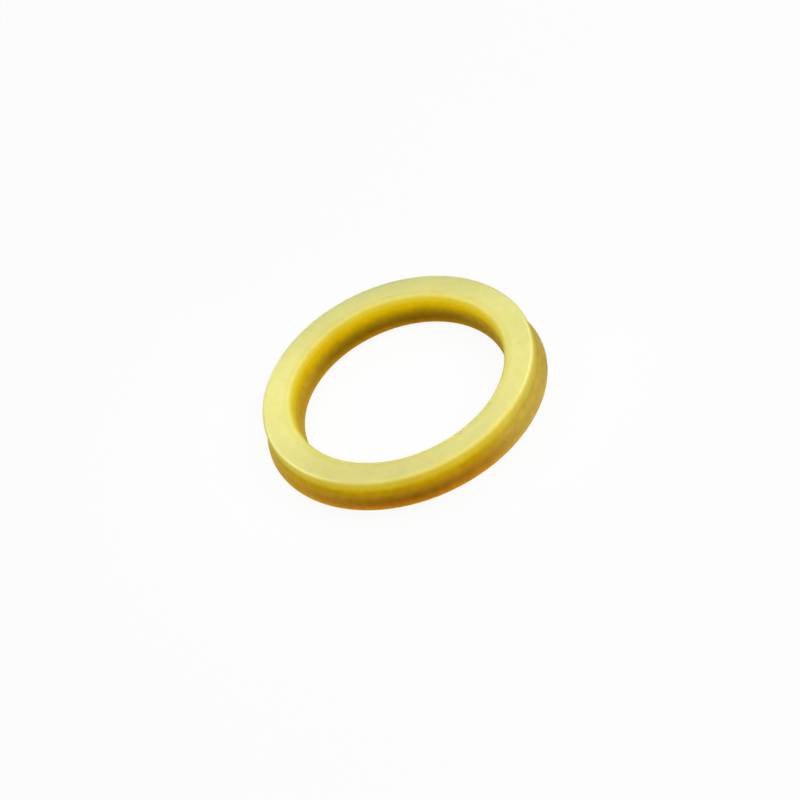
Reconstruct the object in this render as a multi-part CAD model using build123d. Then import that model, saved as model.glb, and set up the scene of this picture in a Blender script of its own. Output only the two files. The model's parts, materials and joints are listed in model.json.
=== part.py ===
from build123d import *
import os

# U-cup seal, made in one piece from polyurethane: a solid heel that carries a flared lip on
# each side of an open groove. Millimetres. The axis is Z. The seal lies on its lip tips at
# Z = 0, and its flat heel faces up.

# The place it fits
rod_diameter = 32.0
section_width = 5.0  # radial room between the rod and the housing wall
seal_height = 6.0  # lip tips to heel face

# Heel
heel_rod_gap = 0.11  # radial clearance of the heel's bore to the rod
heel_housing_gap = 0.23  # radial clearance of the heel to the housing wall
bore_wall_depth = 2.6  # heel face to the start of the inner lip
outer_wall_depth = 2.15  # heel face to the start of the outer lip
heel_bore_round = 0.98
heel_outer_round = 0.55

# Lips
inner_lip_squeeze = 0.34  # how far the free inner lip stands past the rod
outer_lip_squeeze = 0.52  # how far the free outer lip stands past the housing wall
sealing_edge_height = 1.2  # sealing edges above the lip tips
lip_bevel_width = 1.34  # radial width of the trimmed bevel below each sealing edge
lip_tip_land = 0.36  # flat ring on each lip tip, which the free seal rests on

# Groove
groove_depth = 2.5
groove_floor_width = 1.2

# Radii that follow
heel_bore_radius = rod_diameter / 2 + heel_rod_gap
heel_outer_radius = rod_diameter / 2 + section_width - heel_housing_gap
inner_edge_radius = rod_diameter / 2 - inner_lip_squeeze
outer_edge_radius = rod_diameter / 2 + section_width + outer_lip_squeeze
inner_tip_radius = inner_edge_radius + lip_bevel_width
outer_tip_radius = outer_edge_radius - lip_bevel_width


def rounded(section, r, z, radius):
    """A section whose corner at radius r and height z is rounded."""
    corner = section.vertices().sort_by_distance((r, z, 0))[0]
    return fillet(corner, radius)


def body_section():
    """Heel and both lips, as if the groove were full: radius along X, height along Y."""
    section = Polygon(
        (inner_tip_radius, 0),
        (outer_tip_radius, 0),
        (outer_edge_radius, sealing_edge_height),
        (heel_outer_radius, seal_height - outer_wall_depth),
        (heel_outer_radius, seal_height),
        (heel_bore_radius, seal_height),
        (heel_bore_radius, seal_height - bore_wall_depth),
        (inner_edge_radius, sealing_edge_height),
        align=None,
    )
    section = rounded(section, heel_outer_radius, seal_height, heel_outer_round)
    return rounded(section, heel_bore_radius, seal_height, heel_bore_round)


def groove_section():
    """The groove between the lips, which narrows from the lip tips to its flat floor."""
    floor_middle = (heel_bore_radius + heel_outer_radius) / 2
    return Polygon(
        (inner_tip_radius + lip_tip_land, 0),
        (outer_tip_radius - lip_tip_land, 0),
        (floor_middle + groove_floor_width / 2, groove_depth),
        (floor_middle - groove_floor_width / 2, groove_depth),
        align=None,
    )


def seal():
    """The seal's section, turned about its axis."""
    section = body_section() - groove_section()
    return revolve(Plane.XZ * section, Axis.Z)


os.makedirs("parts", exist_ok=True)
export_step(seal(), "parts/u_cup_seal.step")
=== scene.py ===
import json
import math

import bmesh
import bpy
from mathutils import Matrix, Vector


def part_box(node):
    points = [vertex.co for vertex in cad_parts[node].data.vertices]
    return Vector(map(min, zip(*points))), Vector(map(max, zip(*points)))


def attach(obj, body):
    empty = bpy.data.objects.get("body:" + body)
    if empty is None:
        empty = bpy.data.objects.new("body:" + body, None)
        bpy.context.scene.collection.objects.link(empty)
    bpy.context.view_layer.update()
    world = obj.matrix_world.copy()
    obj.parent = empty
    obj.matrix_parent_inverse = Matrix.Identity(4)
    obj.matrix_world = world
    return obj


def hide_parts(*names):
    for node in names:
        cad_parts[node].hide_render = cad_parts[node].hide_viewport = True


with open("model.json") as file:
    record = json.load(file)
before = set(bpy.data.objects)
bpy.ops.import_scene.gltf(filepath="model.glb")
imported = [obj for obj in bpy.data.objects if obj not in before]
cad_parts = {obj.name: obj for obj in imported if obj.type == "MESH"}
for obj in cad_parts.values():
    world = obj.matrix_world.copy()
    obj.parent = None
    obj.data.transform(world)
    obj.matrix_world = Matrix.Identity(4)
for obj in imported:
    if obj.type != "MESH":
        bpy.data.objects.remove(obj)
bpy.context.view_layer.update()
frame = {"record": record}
mm = 0.001

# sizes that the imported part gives
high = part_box("u_cup_seal")[1]
mounts = {mount["name"]: mount for mount in frame["record"]["mounts"]}
heelBore = mounts["rod_bore"]["dims"]["r_mm"] * mm
heelOuter = mounts["heel_wall"]["dims"]["r_mm"] * mm
height = high.z
outerEdge = high.x


def deselectAll():
    if bpy.context.object and bpy.context.object.mode != "OBJECT":
        bpy.ops.object.mode_set(mode="OBJECT")
    bpy.ops.object.select_all(action="DESELECT")


# the seal: one section, pulled round its axis
sealShape = {
    "aroundSteps": 288,
    "innerEdge": 15.66 * mm,  # inner sealing edge, radius
    "edgeHeight": 1.2 * mm,  # both sealing edges above the lip tips
    "bevelWidth": 1.34 * mm,
    "tipLand": 0.36 * mm,
    "boreWallDepth": 2.6 * mm,
    "outerWallDepth": 2.15 * mm,
    "grooveDepth": 2.5 * mm,
    "grooveFloor": 1.2 * mm,
    "rounds": {
        # size and segments of the rounding on each ring of corners
        "heelBore": (0.98 * mm, 14),
        "heelOuter": (0.55 * mm, 10),
        "innerBend": (0.35 * mm, 6),
        "outerBend": (0.40 * mm, 6),
        "innerEdge": (0.05 * mm, 3),
        "outerEdge": (0.05 * mm, 3),
        "innerTip": (0.06 * mm, 3),
        "outerTip": (0.06 * mm, 3),
        "innerMouth": (0.12 * mm, 4),
        "outerMouth": (0.12 * mm, 4),
        "innerRoot": (0.40 * mm, 8),
        "outerRoot": (0.40 * mm, 8),
    },
}


def selectRing(seal, radius, z):
    # every edge of the ring that lies at this radius and height
    mesh = bmesh.from_edit_mesh(seal.data)
    reach = 0.02 * mm
    for face in mesh.faces:
        face.select = False
    for edge in mesh.edges:
        edge.select = all(
            abs(math.hypot(v.co.x, v.co.y) - radius) < reach and abs(v.co.z - z) < reach
            for v in edge.verts
        )
    mesh.select_flush_mode()
    bmesh.update_edit_mesh(seal.data)


def sectionCorners(s):
    # radius and height of each corner, in order round the section
    middle = (heelBore + heelOuter) / 2
    innerTip = s["innerEdge"] + s["bevelWidth"]
    outerTip = outerEdge - s["bevelWidth"]
    return {
        "innerTip": (innerTip, 0),
        "innerEdge": (s["innerEdge"], s["edgeHeight"]),
        "innerBend": (heelBore, height - s["boreWallDepth"]),
        "heelBore": (heelBore, height),
        "heelOuter": (heelOuter, height),
        "outerBend": (heelOuter, height - s["outerWallDepth"]),
        "outerEdge": (outerEdge, s["edgeHeight"]),
        "outerTip": (outerTip, 0),
        "outerMouth": (outerTip - s["tipLand"], 0),
        "outerRoot": (middle + s["grooveFloor"] / 2, s["grooveDepth"]),
        "innerRoot": (middle - s["grooveFloor"] / 2, s["grooveDepth"]),
        "innerMouth": (innerTip + s["tipLand"], 0),
    }


def makeSeal(s):
    deselectAll()
    corners = sectionCorners(s)
    path = list(corners.values())

    # a ring of vertices, pulled from corner to corner and closed on itself
    radius, z = path[0]
    bpy.ops.mesh.primitive_circle_add(
        vertices=s["aroundSteps"], radius=radius, location=(0, 0, z), fill_type="NOTHING"
    )
    seal = bpy.context.object
    seal.name = "seal"
    bpy.ops.object.mode_set(mode="EDIT")
    bpy.ops.mesh.select_all(action="SELECT")
    for nextRadius, nextZ in path[1:]:
        bpy.ops.mesh.extrude_edges_move(
            TRANSFORM_OT_translate={"value": (0, 0, nextZ - z)}
        )
        grow = nextRadius / radius
        bpy.ops.transform.resize(value=(grow, grow, 1), center_override=(0, 0, 0))
        radius, z = nextRadius, nextZ
    bpy.ops.mesh.select_mode(type="EDGE")
    bpy.ops.mesh.select_all(action="DESELECT")
    bpy.ops.mesh.select_non_manifold()
    bpy.ops.mesh.bridge_edge_loops()
    bpy.ops.mesh.select_all(action="SELECT")
    bpy.ops.mesh.normals_make_consistent(inside=False)

    for ring, (offset, segments) in s["rounds"].items():
        selectRing(seal, *corners[ring])
        bpy.ops.mesh.bevel(
            offset=offset, offset_type="OFFSET", segments=segments, profile=0.5, affect="EDGES"
        )
    bpy.ops.object.mode_set(mode="OBJECT")
    bpy.ops.object.shade_smooth()
    bpy.ops.object.modifier_add(type="WEIGHTED_NORMAL")
    bpy.ops.object.modifier_apply(modifier=seal.modifiers[-1].name)
    return seal


seal = makeSeal(sealShape)
print("seal:", len(seal.data.polygons), "faces")


# cast polyurethane
polyurethane = {
    # colours of the bore side and of the outer side by height above the lip tips, mm, with painted
    # light and shade:
    # orange lips painted as lit through, a painted shade band over the groove, a pale heel painted
    # as lit from above
    "tintsWithPaintedShade": (
        (0.0, (0.64, 0.29, 0.004), (0.64, 0.29, 0.004)),
        (1.2, (0.64, 0.325, 0.003), (0.60, 0.23, 0.004)),
        (1.9, (0.335, 0.162, 0.003), (0.355, 0.13, 0.003)),
        (2.6, (0.28, 0.175, 0.002), (0.265, 0.118, 0.002)),
        (3.4, (0.495, 0.33, 0.001), (0.45, 0.255, 0.002)),
        (4.3, (0.69, 0.495, 0.002), (0.58, 0.41, 0.004)),
        (5.0, (0.67, 0.52, 0.010), (0.625, 0.505, 0.035)),
        (5.7, (0.605, 0.495, 0.058), (0.63, 0.525, 0.08)),
        (6.0, (0.695, 0.652, 0.205), (0.725, 0.695, 0.255)),
    ),
    "boreReach": (17.1 * mm, 17.9 * mm),  # the heel turns from the first colour to the second here
    # each noise: scale, detail, seed
    "fadeNoise": (14, 1, 169.5),
    "sheenNoise": (20, 1, 160.5),
    "cloudNoise": (55, 2, 7.5),
    "grainNoise": (900, 4, 1.0),
    "rimHighlightNoise": (40, 2, 231.0),
    "skinNoise": (2600, 3, 3.0),
    # painted light: honey patches where the painted shade band is lifted, standing for side light
    # filling the wall
    "fadeFrom": (0.42, 0.58),  # noise at which a patch starts and is full
    "fadeHeights": (3.0 * mm, 4.2 * mm),
    "litHoneyColour": (0.70, 0.43, 0.03),
    # painted sheen: a pale reflection painted on the outer wall
    "sheenFrom": (0.48, 0.62),
    "sheenHeights": (5.3 * mm, 5.9 * mm),
    "sheenShare": 0.36,
    "sheenColour": (0.52, 0.52, 0.165),
    # clouds and grain, as shares of the tint
    "midNoise": (0.3, 0.7),  # most of a noise lies between these
    "cloudShare": 0.10,
    "grainShare": 0.10,
    "grainHeights": (3.6 * mm, 5.4 * mm),
    "heelGrain": 0.25,  # what is left of the grain on the heel
    # a painted highlight line on the heel's outer corner
    "rimLine": (20.44 * mm, 0.22 * mm),  # radius and reach
    "rimHighlightFrom": (0.46, 0.60),
    "rimHighlightDepths": (0.35 * mm, 0.1 * mm),  # below the heel face
    "rimHighlightColour": (0.86, 0.80, 0.36),
    # dark specks
    "speckScale": 420,
    "speckShare": 0.14,  # of the cells
    "speckReach": (0.04, 0.11),
    "speckStrength": 0.6,
    "speckTop": 0.4 * mm,  # none nearer to the heel face than this
    "speckColour": (0.26, 0.17, 0.004),
    # gloss and bump
    "roughness": 0.52,
    "cloudRoughness": 0.06,
    "grainRoughness": 0.04,
    "specular": 0.02,
    "ior": 1.5,
    "ringPitch": 0.22 * mm,
    "ringShare": 0.15,
    "bumpStrength": 0.5,
    "bumpDistance": 0.02 * mm,
    # light inside: its share, and how far red, green and blue travel
    "scatterShare": 1.0,
    "scatterReach": (1.0, 0.6, 0.15),
    "scatterScale": 5.0 * mm,
}


def makePolyurethane(p):
    material = bpy.data.materials.new("castPolyurethane")
    material.use_nodes = True
    nodes, links = material.node_tree.nodes, material.node_tree.links
    shader = nodes["Principled BSDF"]

    def put(socket, value):
        # a value is set, an output is linked
        if isinstance(value, bpy.types.NodeSocket):
            links.new(value, socket)
        else:
            socket.default_value = value

    def remap(value, fromMin, fromMax, toMin, toMax, smooth=False):
        node = nodes.new("ShaderNodeMapRange")
        if smooth:
            node.interpolation_type = "SMOOTHSTEP"
        for socket, given in zip(node.inputs, (value, fromMin, fromMax, toMin, toMax)):
            put(socket, given)
        return node.outputs[0]

    def maths(operation, a, b=0.0):
        node = nodes.new("ShaderNodeMath")
        node.operation = operation
        put(node.inputs[0], a)
        put(node.inputs[1], b)
        return node.outputs[0]

    def mixed(factor, a, b, blend="MIX"):
        node = nodes.new("ShaderNodeMix")
        node.data_type = "RGBA"
        node.blend_type = blend
        put(node.inputs[0], factor)
        put(node.inputs[6], a)
        put(node.inputs[7], b)
        return node.outputs[2]

    def noise(scale, detail, seed):
        node = nodes.new("ShaderNodeTexNoise")
        node.noise_dimensions = "4D"
        links.new(place, node.inputs["Vector"])
        node.inputs["W"].default_value = seed
        node.inputs["Scale"].default_value = scale
        node.inputs["Detail"].default_value = detail
        return node.outputs["Fac"]

    place = nodes.new("ShaderNodeTexCoord").outputs["Object"]
    split = nodes.new("ShaderNodeSeparateXYZ")
    links.new(place, split.inputs[0])
    z = split.outputs["Z"]
    flat = nodes.new("ShaderNodeVectorMath")
    flat.operation = "MULTIPLY"
    put(flat.inputs[0], place)
    put(flat.inputs[1], (1, 1, 0))
    length = nodes.new("ShaderNodeVectorMath")
    length.operation = "LENGTH"
    links.new(flat.outputs[0], length.inputs[0])
    radius = length.outputs["Value"]

    # tint by height with painted light and shade, one ramp for each side of the section
    ramps = []
    for side in (1, 2):
        ramp = nodes.new("ShaderNodeValToRGB")
        ramp.color_ramp.interpolation = "CARDINAL"
        stops = ramp.color_ramp.elements
        while len(stops) < len(p["tintsWithPaintedShade"]):
            stops.new(1)
        for stop, row in zip(stops, p["tintsWithPaintedShade"]):
            stop.position = row[0] * mm / height
            stop.color = (*row[side], 1)
        put(ramp.inputs["Fac"], remap(z, 0, height, 0, 1))
        ramps.append(ramp.outputs["Color"])
    outerSide = remap(radius, *p["boreReach"], 0, 1, smooth=True)
    tint = mixed(outerSide, *ramps)

    # painted light: the painted shade band fades to honey in places, standing for side light
    # filling the wall
    litFading = remap(noise(*p["fadeNoise"]), *p["fadeFrom"], 0, 1, smooth=True)
    overGroove = remap(z, *p["fadeHeights"], 1, 0, smooth=True)
    tint = mixed(maths("MULTIPLY", litFading, overGroove), tint, (*p["litHoneyColour"], 1))

    # painted sheen: a pale reflection is painted on the upper outer wall in places
    patches = remap(noise(*p["sheenNoise"]), *p["sheenFrom"], 0, p["sheenShare"], smooth=True)
    belowRim = remap(z, *p["sheenHeights"], 1, 0, smooth=True)
    paintedSheen = maths("MULTIPLY", maths("MULTIPLY", patches, belowRim), outerSide)
    tint = mixed(paintedSheen, tint, (*p["sheenColour"], 1))

    # wide soft clouds of tone in the cast material, partly painted light and shade on the heel,
    # and a finer grain that is strongest below the heel
    cloud = noise(*p["cloudNoise"])
    cloudy = remap(cloud, *p["midNoise"], 1 - p["cloudShare"], 1 + p["cloudShare"])
    tint = mixed(1, tint, cloudy, "MULTIPLY")
    grain = noise(*p["grainNoise"])
    grainy = remap(grain, *p["midNoise"], -p["grainShare"], p["grainShare"])
    grainy = maths("MULTIPLY", grainy, remap(z, *p["grainHeights"], 1, p["heelGrain"]))
    tint = mixed(1, tint, maths("ADD", grainy, 1.0), "MULTIPLY")

    # painted highlight: the heel's outer corner is painted paler here and there, where a lamp's
    # glint falls
    lineRadius, lineReach = p["rimLine"]
    offLine = maths("ABSOLUTE", maths("SUBTRACT", radius, lineRadius))
    line = remap(offLine, 0, lineReach, 1, 0, smooth=True)
    highlightHeights = [height - depth for depth in p["rimHighlightDepths"]]
    onTop = remap(z, *highlightHeights, 0, 1, smooth=True)
    highlightPatches = remap(noise(*p["rimHighlightNoise"]), *p["rimHighlightFrom"], 0, 1, smooth=True)
    paintedHighlight = maths("MULTIPLY", maths("MULTIPLY", line, onTop), highlightPatches)
    tint = mixed(paintedHighlight, tint, (*p["rimHighlightColour"], 1))

    # a few dark specks
    cells = nodes.new("ShaderNodeTexVoronoi")
    cells.inputs["Scale"].default_value = p["speckScale"]
    links.new(place, cells.inputs["Vector"])
    tone = nodes.new("ShaderNodeSeparateColor")
    links.new(cells.outputs["Color"], tone.inputs[0])
    few = maths("LESS_THAN", tone.outputs[0], p["speckShare"])
    dot = remap(cells.outputs["Distance"], *p["speckReach"], p["speckStrength"], 0, smooth=True)
    belowHeel = maths("LESS_THAN", z, height - p["speckTop"])
    speck = maths("MULTIPLY", maths("MULTIPLY", few, dot), belowHeel)
    tint = mixed(speck, tint, (*p["speckColour"], 1))
    links.new(tint, shader.inputs["Base Color"])

    # roughness varies a little with the clouds and the grain
    smoothest, roughest = p["roughness"] - p["cloudRoughness"], p["roughness"] + p["cloudRoughness"]
    satin = remap(cloud, *p["midNoise"], smoothest, roughest)
    satinGrain = remap(grain, *p["midNoise"], -p["grainRoughness"], p["grainRoughness"])
    links.new(maths("ADD", satin, satinGrain), shader.inputs["Roughness"])

    # fine skin and the faint rings of turning
    rings = maths("SINE", maths("MULTIPLY", maths("ADD", radius, z), 2 * math.pi / p["ringPitch"]))
    skin = maths("ADD", noise(*p["skinNoise"]), maths("MULTIPLY", rings, p["ringShare"]))
    bump = nodes.new("ShaderNodeBump")
    bump.inputs["Strength"].default_value = p["bumpStrength"]
    bump.inputs["Distance"].default_value = p["bumpDistance"]
    links.new(skin, bump.inputs["Height"])
    links.new(bump.outputs[0], shader.inputs["Normal"])

    shader.inputs["IOR"].default_value = p["ior"]
    shader.inputs["Specular IOR Level"].default_value = p["specular"]
    shader.inputs["Subsurface Weight"].default_value = p["scatterShare"]
    shader.inputs["Subsurface Radius"].default_value = p["scatterReach"]
    shader.inputs["Subsurface Scale"].default_value = p["scatterScale"]
    return material


seal.data.materials.append(makePolyurethane(polyurethane))
print("material:", len(seal.data.materials[0].node_tree.nodes), "nodes")
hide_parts("u_cup_seal")
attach(seal, "root")

# the set
camera = {
    "lens": 225,
    "elevation": 42.35,
    "roll": -24.3,
    "distance": 0.728,
    "offset": (0.49 * mm, -3.28 * mm),  # from the heel's middle to the middle of the frame
}


def makeCamera(c):
    deselectAll()
    look = Matrix.Rotation(math.radians(90 - c["elevation"]), 4, "X")
    look = look @ Matrix.Rotation(math.radians(c["roll"]), 4, "Z")
    right, up, back = (look.to_3x3() @ Vector(axis) for axis in ((1, 0, 0), (0, 1, 0), (0, 0, 1)))
    aim = Vector((0, 0, height)) + right * c["offset"][0] + up * c["offset"][1]
    bpy.ops.object.camera_add(location=aim + back * c["distance"], rotation=look.to_euler())
    bpy.context.object.data.lens = c["lens"]
    bpy.context.scene.camera = bpy.context.object


def seesWhite(rays, nodes, links):
    # one for camera, glossy and transmission rays, which see the white backdrop itself
    total = rays.outputs["Is Camera Ray"]
    for kind in ("Is Glossy Ray", "Is Transmission Ray"):
        more = nodes.new("ShaderNodeMath")
        more.operation = "MAXIMUM"
        links.new(total, more.inputs[0])
        links.new(rays.outputs[kind], more.inputs[1])
        total = more.outputs[0]
    return total


paleFloor = {
    "size": 4,
    "colour": (0.9, 0.9, 0.9),
    "bounceColour": (0.42, 0.34, 0.26),  # what the floor sends back up to the seal
    "whiteShare": 0.93,  # the rest shows the shadow
}


def makeFloor(f):
    deselectAll()
    bpy.ops.mesh.primitive_plane_add(size=f["size"], location=(0, 0, 0))
    floor = bpy.context.object
    floor.name = "floor"
    material = bpy.data.materials.new("paleFloor")
    material.use_nodes = True
    nodes, links = material.node_tree.nodes, material.node_tree.links
    nodes.clear()
    rays = nodes.new("ShaderNodeLightPath")
    diffuse = nodes.new("ShaderNodeBsdfDiffuse")
    bounce = nodes.new("ShaderNodeMix")
    bounce.data_type = "RGBA"
    bounce.inputs[6].default_value = (*f["colour"], 1)
    bounce.inputs[7].default_value = (*f["bounceColour"], 1)
    links.new(rays.outputs["Is Diffuse Ray"], bounce.inputs["Factor"])
    links.new(bounce.outputs[2], diffuse.inputs["Color"])
    white = nodes.new("ShaderNodeEmission")
    mix = nodes.new("ShaderNodeMixShader")
    share = nodes.new("ShaderNodeMath")
    share.operation = "MULTIPLY"
    share.inputs[1].default_value = f["whiteShare"]
    out = nodes.new("ShaderNodeOutputMaterial")
    links.new(seesWhite(rays, nodes, links), share.inputs[0])
    links.new(share.outputs[0], mix.inputs["Fac"])
    links.new(diffuse.outputs[0], mix.inputs[1])
    links.new(white.outputs[0], mix.inputs[2])
    links.new(mix.outputs[0], out.inputs[0])
    floor.data.materials.append(material)


studio = {"light": (0.15, 0.15, 0.15), "seen": (1, 1, 1)}


def makeWorld(w):
    world = bpy.data.worlds.new("studio")
    bpy.context.scene.world = world
    world.use_nodes = True
    nodes, links = world.node_tree.nodes, world.node_tree.links
    nodes.clear()
    rays = nodes.new("ShaderNodeLightPath")
    light = nodes.new("ShaderNodeBackground")
    light.inputs["Color"].default_value = (*w["light"], 1)
    white = nodes.new("ShaderNodeBackground")
    white.inputs["Color"].default_value = (*w["seen"], 1)
    mix = nodes.new("ShaderNodeMixShader")
    out = nodes.new("ShaderNodeOutputWorld")
    links.new(seesWhite(rays, nodes, links), mix.inputs["Fac"])
    links.new(light.outputs[0], mix.inputs[1])
    links.new(white.outputs[0], mix.inputs[2])
    links.new(mix.outputs[0], out.inputs[0])


lamps = {
    # place in metres, size, power
    "key": ((0.266, -0.097, 0.283), 0.2, 0.80),
    "back": ((0, 0.283, 0.283), 0.2, 0.27),
    "front": ((0.021, -0.397, 0.048), 0.12, 0.80),
    "frontLeft": ((-0.343, -0.198, 0.056), 0.12, 0.33),
    "left": ((-0.392, 0.069, 0.042), 0.08, 0.31),
    # two small ones over the heel's ends
    "leftEnd": ((-0.0175, 0.0063, 0.034), 0.02, 0.0044),
    "rightEnd": ((0.022, -0.008, 0.034), 0.02, 0.0024),
}


def makeLamp(name, place, size, power):
    # an area lamp that faces the middle of the set
    deselectAll()
    bpy.ops.object.light_add(type="AREA", location=place)
    lamp = bpy.context.object
    lamp.name = name
    lamp.data.size = size
    lamp.data.energy = power
    lamp.rotation_euler = Vector(place).to_track_quat("Z", "Y").to_euler()
    lamp.visible_camera = False


makeCamera(camera)
makeFloor(paleFloor)
makeWorld(studio)
for name, (place, size, power) in lamps.items():
    makeLamp(name, place, size, power)
print("set: camera, floor and", len(lamps), "lamps")

bpy.context.scene.view_settings.view_transform = "Standard"
